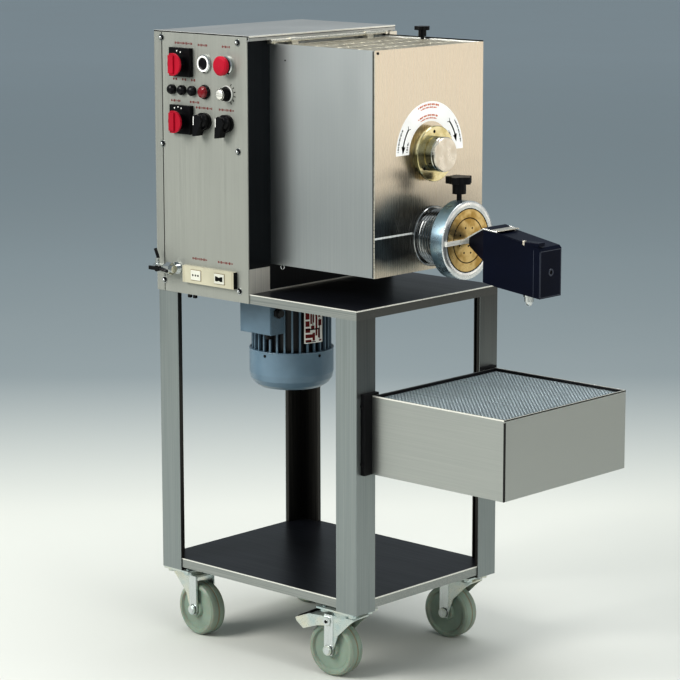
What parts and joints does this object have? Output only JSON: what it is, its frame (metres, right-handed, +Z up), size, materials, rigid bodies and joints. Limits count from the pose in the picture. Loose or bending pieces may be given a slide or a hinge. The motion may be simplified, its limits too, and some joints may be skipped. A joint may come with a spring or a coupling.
{
  "type": "dough kneader and extruder",
  "caption": "Dough kneader and extruder with a grated hopper, die ring, rotary cutter and fan box, on a stainless trolley with casters",
  "frame": {"origin": "on the floor, under the centre of the whole machine's box", "axes": "+X the way the dough comes out, +Y away from the control panel, +Z up"},
  "size_m": [0.714, 0.374, 1.016],
  "materials": {
    "stainless": "satin brushed stainless sheet",
    "stainless_dark": "stainless tray that mirrors a dark room",
    "panel": "fine satin control panel",
    "nylon": "cast nylon wheel",
    "zinc": "bright zinc plated pressing",
    "steel": "machined steel",
    "black_plastic": "moulded, fine grain",
    "red_plastic": "moulded",
    "red_lens": "ribbed lens",
    "chrome": "polished",
    "cream_plastic": "moulded",
    "cast_aluminium": "turned and satin",
    "brass": "turned, lightly tarnished",
    "bronze": "machined die",
    "motor_grey": "blue-grey enamel",
    "motor_core": "laminated core and shaft",
    "black_steel": "satin black",
    "gear_steel": "hobbed",
    "mesh_steel": "woven wire"
  },
  "bodies": {
    "trolley": {"barrel": "steel", "caster_plates": "zinc", "chrome_fittings": "chrome", "control_panel": "panel", "extrusion_die": "bronze", "fan_box_brackets": "black_steel", "fan_box_mesh": "mesh_steel", "fan_box_shell": "stainless", "fan_cowl": "motor_grey", "front_plate": "stainless", "fuse_holders": "black_plastic", "gearbox": "motor_grey", "hopper_shell": "stainless", "inner_wall": "stainless", "legs": "stainless", "lid_hinge": "stainless", "mixing_vat": "stainless", "motor_body": "motor_grey", "motor_fins": "motor_grey", "outlet_strip": "cream_plastic", "pilot_lamp": "red_lens", "rear_casing": "stainless", "shaft_bushes": "brass", "shelf_tray": "stainless_dark", "switch_bases": "black_plastic", "table_top_tray": "stainless_dark", "tap_body": "chrome", "terminal_box": "motor_grey", "top_cover": "stainless"},
    "caster_front_near": {"fork_front_near": "zinc"},
    "wheel_front_near_spin": {"wheel_front_near": "nylon"},
    "pedal": {"brake_pedal": "zinc"},
    "caster_front_far": {"fork_front_far": "zinc"},
    "wheel_front_far_spin": {"wheel_front_far": "nylon"},
    "caster_rear_near": {"fork_rear_near": "zinc"},
    "wheel_rear_near_spin": {"wheel_rear_near": "nylon"},
    "caster_rear_far": {"fork_rear_far": "zinc"},
    "wheel_rear_far_spin": {"wheel_rear_far": "nylon"},
    "main_switch": {"main_switch_handle": "red_plastic"},
    "mode_switch": {"mode_switch_handle": "red_plastic"},
    "start_push": {"start_button": "black_plastic"},
    "stop_push": {"stop_button": "red_plastic"},
    "speed_dial": {"speed_knob": "black_plastic"},
    "selector_a": {"selector_left": "black_plastic"},
    "selector_b": {"selector_right": "black_plastic"},
    "tap_handle": {"tap_lever": "black_plastic"},
    "lid": {"lid_grate": "stainless"},
    "lid_screw": {"lid_knob": "black_plastic"},
    "shutter": {"brass_collar": "brass", "grip_knob": "brass"},
    "ring": {"die_ring": "cast_aluminium"},
    "ring_screw": {"ring_knob": "black_plastic"},
    "rotor": {"motor_rotor": "motor_core"},
    "auger_drive": {"auger": "steel", "auger_pinion": "gear_steel"},
    "mixer_drive": {"mixer_shaft": "stainless", "mixer_gear": "gear_steel"},
    "cutter": {"cutter_housing": "black_plastic"},
    "blade": {"cutter_blade": "steel"},
    "fan_wheel": {"impeller": "black_plastic"}
  },
  "joints": [
    {"name": "swivel_front_near", "type": "hinge", "parent": "trolley", "child": "caster_front_near", "pos_m": [0.038, -0.126, 0.106], "axis": [0, 0, 1], "continuous": true},
    {"name": "roll_front_near", "type": "hinge", "parent": "caster_front_near", "child": "wheel_front_near_spin", "pos_m": [0.01608, -0.12792, 0.0445], "axis": [0.0872, -0.9962, 0], "continuous": true},
    {"name": "brake", "type": "hinge", "parent": "caster_front_near", "child": "pedal", "pos_m": [0.01409, -0.12809, 0.092], "axis": [0.0872, -0.9962, 0], "range_deg": [0, 18]},
    {"name": "swivel_front_far", "type": "hinge", "parent": "trolley", "child": "caster_front_far", "pos_m": [0.038, 0.156, 0.106], "axis": [0, 0, 1], "continuous": true},
    {"name": "roll_front_far", "type": "hinge", "parent": "caster_front_far", "child": "wheel_front_far_spin", "pos_m": [0.01608, 0.15408, 0.0445], "axis": [0.0872, -0.9962, 0], "continuous": true},
    {"name": "swivel_rear_near", "type": "hinge", "parent": "trolley", "child": "caster_rear_near", "pos_m": [-0.324, -0.115, 0.106], "axis": [0, 0, 1], "continuous": true},
    {"name": "roll_rear_near", "type": "hinge", "parent": "caster_rear_near", "child": "wheel_rear_near_spin", "pos_m": [-0.30205, -0.11653, 0.0445], "axis": [0.0698, 0.9976, 0], "continuous": true},
    {"name": "swivel_rear_far", "type": "hinge", "parent": "trolley", "child": "caster_rear_far", "pos_m": [-0.324, 0.145, 0.106], "axis": [0, 0, 1], "continuous": true},
    {"name": "roll_rear_far", "type": "hinge", "parent": "caster_rear_far", "child": "wheel_rear_far_spin", "pos_m": [-0.30212, 0.1427, 0.0445], "axis": [0.1045, 0.9945, 0], "continuous": true},
    {"name": "main_switch_turn", "type": "hinge", "parent": "trolley", "child": "main_switch", "pos_m": [-0.291, -0.155, 0.9605], "axis": [0, 1, 0], "range_deg": [0, 90]},
    {"name": "mode_switch_turn", "type": "hinge", "parent": "trolley", "child": "mode_switch", "pos_m": [-0.291, -0.155, 0.8685], "axis": [0, 1, 0], "range_deg": [-60, 60]},
    {"name": "start_press", "type": "slide", "parent": "trolley", "child": "start_push", "axis": [0, 1, 0], "range_m": [0, 0.003], "stiffness_N_per_m": 600},
    {"name": "stop_press", "type": "slide", "parent": "trolley", "child": "stop_push", "axis": [0, 1, 0], "range_m": [0, 0.005], "stiffness_N_per_m": 600},
    {"name": "speed_turn", "type": "hinge", "parent": "trolley", "child": "speed_dial", "pos_m": [-0.19, -0.155, 0.918], "axis": [0, 1, 0], "range_deg": [-150, 150]},
    {"name": "selector_left_turn", "type": "hinge", "parent": "trolley", "child": "selector_a", "pos_m": [-0.24, -0.155, 0.871], "axis": [0, 1, 0], "range_deg": [0, 90]},
    {"name": "selector_right_turn", "type": "hinge", "parent": "trolley", "child": "selector_b", "pos_m": [-0.19, -0.155, 0.871], "axis": [0, 1, 0], "range_deg": [0, 90]},
    {"name": "tap_turn", "type": "hinge", "parent": "trolley", "child": "tap_handle", "pos_m": [-0.328, -0.173, 0.627], "axis": [0, 1, 0], "range_deg": [0, 90]},
    {"name": "lid_lift", "type": "hinge", "parent": "trolley", "child": "lid", "pos_m": [-0.136, 0, 1.001], "axis": [0, -1, 0], "range_deg": [0, 100]},
    {"name": "lid_knob_turn", "type": "hinge", "parent": "lid", "child": "lid_screw", "pos_m": [-0.043, 0.143, 0.997], "axis": [0, 0, 1], "range_deg": [0, 720]},
    {"name": "shutter_turn", "type": "hinge", "parent": "trolley", "child": "shutter", "pos_m": [0.078, 0.021, 0.83], "axis": [1, 0, 0], "range_deg": [-60, 60]},
    {"name": "ring_turn", "type": "hinge", "parent": "trolley", "child": "ring", "pos_m": [0.153, 0.029, 0.698], "axis": [1, 0, 0], "range_deg": [-60, 60]},
    {"name": "ring_knob_turn", "type": "hinge", "parent": "ring", "child": "ring_screw", "pos_m": [0.134, 0.029, 0.797], "axis": [0, 0, 1], "range_deg": [0, 720]},
    {"name": "rotor_spin", "type": "hinge", "parent": "trolley", "child": "rotor", "pos_m": [-0.198, -0.005, 0.489], "axis": [0, 0, 1], "continuous": true},
    {"name": "auger_spin", "type": "hinge", "parent": "trolley", "child": "auger_drive", "pos_m": [-0.177, 0.029, 0.698], "axis": [1, 0, 0], "continuous": true},
    {"name": "mixer_spin", "type": "hinge", "parent": "trolley", "child": "mixer_drive", "pos_m": [-0.177, 0.021, 0.83], "axis": [1, 0, 0], "continuous": true},
    {"name": "cutter_pull", "type": "slide", "parent": "trolley", "child": "cutter", "axis": [1, 0, 0], "range_m": [0, 0.06]},
    {"name": "blade_spin", "type": "hinge", "parent": "cutter", "child": "blade", "pos_m": [0.153, 0.029, 0.698], "axis": [1, 0, 0], "continuous": true},
    {"name": "fan_spin", "type": "hinge", "parent": "trolley", "child": "fan_wheel", "pos_m": [0.225, 0.0225, 0.384], "axis": [0, 0, 1], "continuous": true}
  ],
  "couplings": [
    {"joint": "auger_spin", "follows": "rotor_spin", "ratio": 0.05},
    {"joint": "mixer_spin", "follows": "rotor_spin", "ratio": -0.028571}
  ]
}
